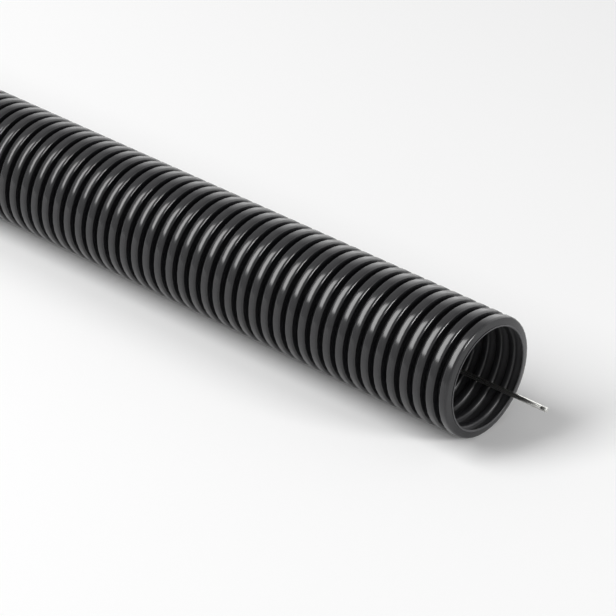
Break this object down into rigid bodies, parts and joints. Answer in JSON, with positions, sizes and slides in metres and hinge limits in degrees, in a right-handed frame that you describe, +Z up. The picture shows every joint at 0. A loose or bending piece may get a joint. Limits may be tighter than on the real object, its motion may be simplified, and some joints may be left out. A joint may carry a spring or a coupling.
{
  "type": "corrugated conduit",
  "caption": "Straight cut length of black corrugated plastic conduit with an open bore and a steel draw wire that lies in it and stands out at both mouths.",
  "frame": {"origin": "on the floor under the middle of the conduit, as it lies on its crests", "axes": "+X along the conduit towards the front mouth, +Z up; the wire lies on the +Y side at the front mouth"},
  "size_m": [1.0348, 0.0498, 0.05],
  "materials": {
    "black_polyethylene": "moulded black polyethylene with a waxy half-gloss",
    "galvanised_steel_wire": "drawn and zinc-coated, bright"
  },
  "bodies": {
    "root": {"conduit": "black_polyethylene", "draw_wire": "galvanised_steel_wire"}
  },
  "joints": []
}
